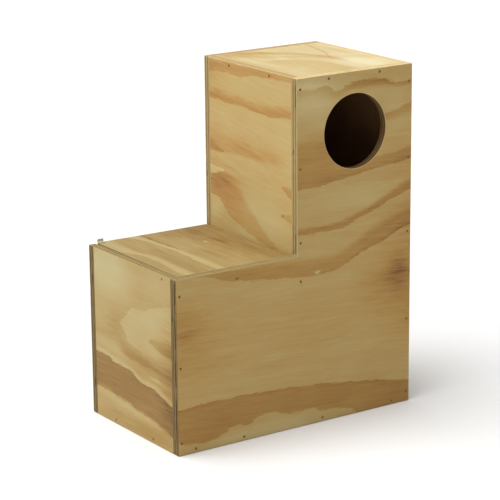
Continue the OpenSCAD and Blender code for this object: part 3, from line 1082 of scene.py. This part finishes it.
def plain_side(faces):
    """The far side panel, with the rebate that the lid rests in."""
    side = Sheet("plain_side_panel", (X, Z), 1, faces["far"], faces["inner_side"], (LEVEL, UPRIGHT), 2)
    side.corners = boot_outline(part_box("inspection_lid")[0].z - SEAT_GAP)
    toe, riser = side.low.x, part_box("riser_panel")[0].x
    side.voids = [((toe, 0.205), 12 * MM, 3), ((toe, 0.048), 12 * MM, 3), ((riser, 0.330), 8 * MM, 1),
                  ((side.high.x, 0.300), 9 * MM, 3), ((0.140, side.high.z), 8 * MM, 3)]
    return side


def inspection_lid(faces):
    """The lid, which has warped."""
    # The lid's edges take the darker lid-level colours, which paint the shade in the gaps round it
    lid = Sheet("inspection_lid", (X, Y), 1, faces["lid"], faces["lid_under"], (LEVEL, LEVEL), 8)
    lid.voids = [((-0.120, lid.high.y), 9 * MM, 3), ((lid.low.x, 0.02), 9 * MM, 1)]
    lid.bend = lid_bend
    return lid


def make_panels():
    """The eight plywood boards."""
    faces = veneers()
    side = entrance_side(faces)
    far = plain_side(faces)
    toe = Sheet("toe_end_panel", (Y, Z), -1, faces["toe"], faces["inner_end"], (LEVEL, UPRIGHT), 3)
    riser = Sheet("riser_panel", (Y, Z), -1, faces["riser"], faces["inner_end"], (LEVEL, UPRIGHT), 4)
    back = Sheet("back_panel", (Y, Z), 1, faces["back"], faces["inner_back"], (LEVEL_BRIGHT, UPRIGHT), 5)
    top = Sheet("top_panel", (X, Y), 1, faces["top"], faces["inner_flat"], (LEVEL, LEVEL), 6)
    floor = Sheet("floor_panel", (X, Y), -1, faces["under"], faces["inner_floor"], (LEVEL, LEVEL), 7)
    for between_sides in (toe, riser, back):
        between_sides.trim = (JOINT_GAP, 0.0)
    for between_walls in (top, floor):
        between_walls.trim = (JOINT_GAP, JOINT_GAP)
    mark_nails([node for node in NAIL_HEADS if node.startswith("side_to")], side, far)
    mark_nails(("toe_end_to_floor_nails", "toe_pivot_pin"), toe, toe)
    mark_nails(("riser_to_top_nails",), riser, riser)
    mark_nails(("back_to_top_nails", "back_to_floor_nails"), back, back)
    for sheet in (side, far, toe, riser, back, top, floor):
        sheet.build()
    inspection_lid(faces).build("lid")


# ------------------------------------------------------------------ steel


def steel(name, bright, dark, rust, roughness, metallic, seed):
    """Steel: bright where it has rubbed, dark where it has tarnished, and rusty in places."""
    material, tree = blank_material(name)
    x, y, z = millimetres(tree)
    tarnish = noise_at(x / 1.6, y / 1.6, z / 1.6 + seed, detail=4.0, roughness=0.6)
    batch = noise_at(x / 37, y / 37, z / 37 + seed, detail=1.0)
    amount = (tarnish * 0.9 + batch * 0.6 + 0.5).smaller(1.0).larger(0.0)
    colour = blended(amount, paint(*bright), paint(*dark))
    rusty = noise_at(x / 29, y / 29, z / 29 + seed + 4.0, detail=1.0).eased(0.02, 0.2)
    colour = blended(rusty * 0.7, colour, paint(*rust))
    pitting = noise_at(x / 0.25, y / 0.25, z / 0.25, detail=3.0)
    finish_material(tree, colour, amount * 0.25 + roughness, pitting + tarnish, 0.06 * MM, Metallic=metallic)
    return material


def turned(profile, base, inwards, sides, twist):
    """Rings of a turned shape: profile is (radius, depth) from the tip of its head, which is at base."""
    helper = Vector((0, 0, 1)) if abs(inwards.z) < 0.5 else Vector((1, 0, 0))
    first = inwards.cross(helper).normalized()
    second = inwards.cross(first)
    points = [base + inwards * profile[0][1]]
    faces = []
    for radius, depth in profile[1:-1]:
        for k in range(sides):
            turn = 2 * math.pi * k / sides + twist
            spoke = first * math.cos(turn) + second * math.sin(turn)
            points.append(base + inwards * depth + spoke * radius)
    points.append(base + inwards * profile[-1][1])
    rings = len(profile) - 2
    last = 1 + (rings - 1) * sides
    for k in range(sides):
        after = (k + 1) % sides
        faces.append((0, 1 + after, 1 + k))
        faces.append((last + k, last + after, len(points) - 1))
    return points, faces + ring_quads(1, sides, rings)


def nail_profile(head, shank, length):
    """A wire nail: slightly domed head with a rolled rim, then the shank and its point."""
    return [(0, 0.05 * MM), (head * 0.42, 0.03 * MM), (head * 0.55, 0.08 * MM), (head * 0.86, 0.06 * MM),
            (head * 0.97, 0.14 * MM), (head, 0.32 * MM), (head, 0.66 * MM), (head * 0.93, 0.82 * MM),
            (shank, 1.15 * MM), (shank, length - 3.2 * MM), (shank * 0.3, length - 0.4 * MM), (0, length)]


def make_nails(metal, pale_metal):
    """Every nail and pivot pin, one object for each CAD node, most sunk a little below the wood."""
    for number, node in enumerate(NAIL_HEADS):
        sink = 0.0 if node in ("lift_tab_nail", "rung_nails", "riser_pivot_pin") else HEAD_SINK
        is_pin = node.endswith("pin")
        on_lid = node == "lift_tab_nail"
        points, faces = [], []
        for count, (head, inwards, length, radius) in enumerate(driven(node)):
            wobble = noise.noise_vector(head * 37 + Vector((number, 0, 0))) * NAIL_LEAN
            way = inwards if is_pin else (inwards + wobble).normalized()
            if on_lid:
                head = lid_bend(head)
            shank = radius * (PIN_SHANK if is_pin else NAIL_SHANK)
            head_radius = radius if is_pin else min(radius, PIT_WALL * 0.95)
            profile = nail_profile(head_radius, shank, length - sink)
            added, joins = turned(profile, head + inwards * sink, way, NAIL_SIDES, count * 1.7)
            faces += [tuple(i + len(points) for i in face) for face in joins]
            points += added
        piece = new_object(f"{node}_steel", points, faces, [pale_metal if on_lid else metal])
        mount(piece, "lid" if on_lid else "box", node)


def tab_section(low, high, from_end):
    """The tab's bent section in Y and Z, cut short near its ends because its corners are round."""
    cut = TAB_CORNER - math.sqrt(max(0.0, TAB_CORNER ** 2 - max(0.0, TAB_CORNER - from_end) ** 2))
    cut = min(cut, TAB_CORNER * 0.9)
    outer = [(low.y + cut, low.z)]
    inner = [(low.y + cut, low.z + TAB_SHEET)]
    for k in range(TAB_BEND_STEPS + 1):
        turn = math.pi / 2 * k / TAB_BEND_STEPS
        for line, radius in ((outer, TAB_BEND), (inner, TAB_BEND - TAB_SHEET)):
            line.append((high.y - TAB_BEND + radius * math.sin(turn),
                         low.z + TAB_BEND - radius * math.cos(turn)))
    outer.append((high.y, high.z - cut))
    inner.append((high.y - TAB_SHEET, high.z - cut))
    return outer + inner[::-1]


def make_lift_tab(metal):
    """The small bent tab on the lid: a foot that is nailed down and a lip to lift by."""
    low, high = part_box("lift_tab")
    points = []
    for number in range(TAB_SECTIONS):
        x = low.x + (high.x - low.x) * number / (TAB_SECTIONS - 1)
        section = tab_section(low, high, min(x - low.x, high.x - x))
        lift = lid_bend(Vector((x, high.y, low.z))).z - low.z
        points += [(x, y, z + lift) for y, z in section]
    size = len(section)
    half = size // 2
    faces = ring_quads(0, size, TAB_SECTIONS)
    for start in (0, (TAB_SECTIONS - 1) * size):
        end = start + size - 1
        faces += [(start + k, start + k + 1, end - 1 - k, end - k) for k in range(half - 1)]
    piece = new_object("lift_tab_sheet", points, faces, [metal])
    soften = piece.modifiers.new("eased_edges", "BEVEL")
    soften.width = 0.18 * MM
    soften.segments = 2
    soften.angle_limit = math.radians(50)
    mount(piece, "lid", "lift_tab")


# ------------------------------------------------------------------ rungs


def pine(name, end_grain):
    """Sawn softwood strip: straight grain along X with fine rings, or its ends."""
    material, tree = blank_material(name)
    x, y, z = millimetres(tree)
    if end_grain:
        rings = ((z + y * 0.35) / 1.9 + noise_at(y / 8, z / 8, 3.0) * 0.8).fraction()
        pores = noise_at(y / 0.4, z / 0.4, x, detail=2.0)
    else:
        rings = ((z + y * 0.35) / 1.9 + noise_at(x / 90, y / 8, z / 8) * 1.6).fraction()
        pores = noise_at(x / 9, y / 0.4, z / 0.4, detail=2.0)
    late = rings.math("POWER", 3.0) * (1.0 - rings.eased(0.93, 1.0))
    tone = noise_at(x / 60, y / 12, z / 40, detail=2.0)
    stops = [(0.0, paint(232, 206, 156)), (0.4, paint(212, 176, 120)), (1.0, paint(164, 116, 66))]
    colour = colour_ramp(late * 0.6 + tone * 0.25 + pores * 0.12 + 0.25, stops)
    saw = noise_at(x / 1.6, y / 20, z / 20, detail=1.0)
    height = saw * 0.6 + pores + late
    finish_material(tree, colour, late * -0.08 + 0.72, height, 0.2 * MM, Specular_IOR_Level=0.25)
    return material


def rung_section(low, high):
    """A rung's section in Y and Z: a square with rounded corners."""
    section = []
    for corner in range(4):
        centre_y = high.y - RUNG_ARRIS if corner in (0, 3) else low.y + RUNG_ARRIS
        centre_z = high.z - RUNG_ARRIS if corner in (0, 1) else low.z + RUNG_ARRIS
        for k in range(ARC_STEPS + 1):
            turn = math.pi / 2 * (corner + k / ARC_STEPS)
            section.append((centre_y + RUNG_ARRIS * math.cos(turn), centre_z + RUNG_ARRIS * math.sin(turn)))
    return section


def rung_places(length):
    """Where along a rung its sections are, closest together at its ends."""
    inset = RUNG_END_STEPS[-1]
    count = round((length - 2 * inset) / RUNG_STEP)
    places = list(RUNG_END_STEPS)
    places += [inset + (length - 2 * inset) * k / count for k in range(1, count)]
    return places + [length - step for step in reversed(RUNG_END_STEPS)]


def rung_points(low, high, seed):
    """A rung's points, section by section; it stays flat where it lies against the wall."""
    points = []
    length = high.x - low.x
    middle = (low + high) / 2
    for place in rung_places(length):
        from_end = min(place, length - place)
        ease = 1 - RUNG_END_EASE * max(0.0, 1 - from_end / RUNG_END_STEPS[-1]) ** 2
        for y, z in rung_section(low, high):
            spot = Vector((low.x + place, y, z))
            rough = noise.noise(spot * 90 + Vector((seed, 0, 0))) * 0.22 * MM + 0.1 * MM
            share = ease * (1 - abs(rough) / (high.y - middle.y))
            on_wall = y < low.y + RUNG_ARRIS
            points.append((spot.x, y if on_wall else middle.y + (y - middle.y) * share,
                           middle.z + (z - middle.z) * share))
    return points


def make_rungs():
    """Sawn strips for the climb to the entrance, each with eased arrises and its own slight wander."""
    long_side = pine("rung_long_grain", False)
    ends = pine("rung_end_grain", True)
    points, faces, indices = [], [], []
    for number, (low, high) in enumerate(parts_of("climbing_rungs")):
        first = len(points)
        points += rung_points(low, high, number * 7)
        size = len(rung_section(low, high))
        long_faces = ring_quads(first, size, (len(points) - first) // size)
        faces += long_faces
        faces.append(tuple(range(first, first + size)))
        faces.append(tuple(range(len(points) - size, len(points))))
        indices += [0] * len(long_faces) + [1, 1]
    piece = new_object("climbing_rungs_sawn", points, faces, [long_side, ends], indices)
    mount(piece, "box", "climbing_rungs")


# ------------------------------------------------------------------ studio


def make_floor():
    """A wide pale floor that the box stands on."""
    material, tree = blank_material("studio_floor")
    x, y, z = millimetres(tree)
    mottle = noise_at(x / 900, y / 900, z, detail=2.0)
    colour = blended(mottle.eased(-0.5, 0.5), paint(235, 235, 235), paint(238, 238, 238))
    finish_material(tree, colour, mottle * 0.05 + 0.9, mottle, 0.1 * MM, Specular_IOR_Level=0.1)
    points = [(0.0, 0.0, 0.0)]
    for radius in FLOOR_RINGS:
        for k in range(FLOOR_SIDES):
            turn = 2 * math.pi * k / FLOOR_SIDES
            points.append((radius * math.cos(turn), radius * math.sin(turn), 0.0))
    faces = [(0, 1 + k, 1 + (k + 1) % FLOOR_SIDES) for k in range(FLOOR_SIDES)]
    faces += [quad[::-1] for quad in ring_quads(1, FLOOR_SIDES, len(FLOOR_RINGS))]
    mesh = bpy.data.meshes.new("studio_floor")
    mesh.from_pydata(points, [], faces)
    mesh.materials.append(material)
    floor = linked("studio_floor", mesh)
    floor.location.z = cad_low.z - FLOOR_DROP


def make_lights():
    """One wide overhead key that leans from the toe, and an even pale surround."""
    light = bpy.data.lights.new("overhead_key", "SUN")
    light.energy = KEY_POWER
    light.angle = math.radians(KEY_ANGLE)
    light.color = KEY_COLOUR
    lamp = linked("overhead_key", light)
    lamp.location = KEY_PLACE
    lamp.rotation_euler = Vector(KEY_WAY).to_track_quat("-Z", "Y").to_euler()
    world = bpy.data.worlds.new("studio")
    world.use_nodes = True
    backdrop = world.node_tree.nodes["Background"]
    backdrop.inputs["Color"].default_value = SURROUND_COLOUR
    backdrop.inputs["Strength"].default_value = SURROUND_STRENGTH
    bpy.context.scene.world = world
    bpy.context.scene.view_settings.view_transform = "Standard"


def make_camera():
    """The camera, at the photograph's viewing angle."""
    azimuth, elevation, roll = (math.radians(a) for a in CAMERA_ANGLES)
    back = Vector((math.sin(azimuth) * math.cos(elevation), -math.cos(azimuth) * math.cos(elevation),
                   math.sin(elevation)))
    right = back.cross(Vector((0, 0, -1))).normalized()
    up = back.cross(right)
    turned_right = right * math.cos(roll) + up * math.sin(roll)
    turned_up = up * math.cos(roll) - right * math.sin(roll)
    turn = Matrix((turned_right, turned_up, back)).transposed()
    data = bpy.data.cameras.new("camera")
    data.lens = CAMERA_LENS
    data.sensor_width = 36
    data.clip_end = 60
    camera = linked("camera", data)
    camera.matrix_world = Matrix.Translation(CAMERA_AIM + back * CAMERA_DISTANCE) @ turn.to_4x4()
    bpy.context.scene.camera = camera


make_camera()
make_lights()
make_floor()
make_panels()
nail_metal = steel("nail_steel", (146, 108, 58), (92, 62, 30), (164, 104, 46), 0.6, 0.0, 5.0)
tab_metal = steel("tab_steel", (242, 238, 216), (214, 208, 184), (188, 178, 150), 0.5, 0.1, 11.0)
make_nails(nail_metal, tab_metal)
make_lift_tab(tab_metal)
make_rungs()
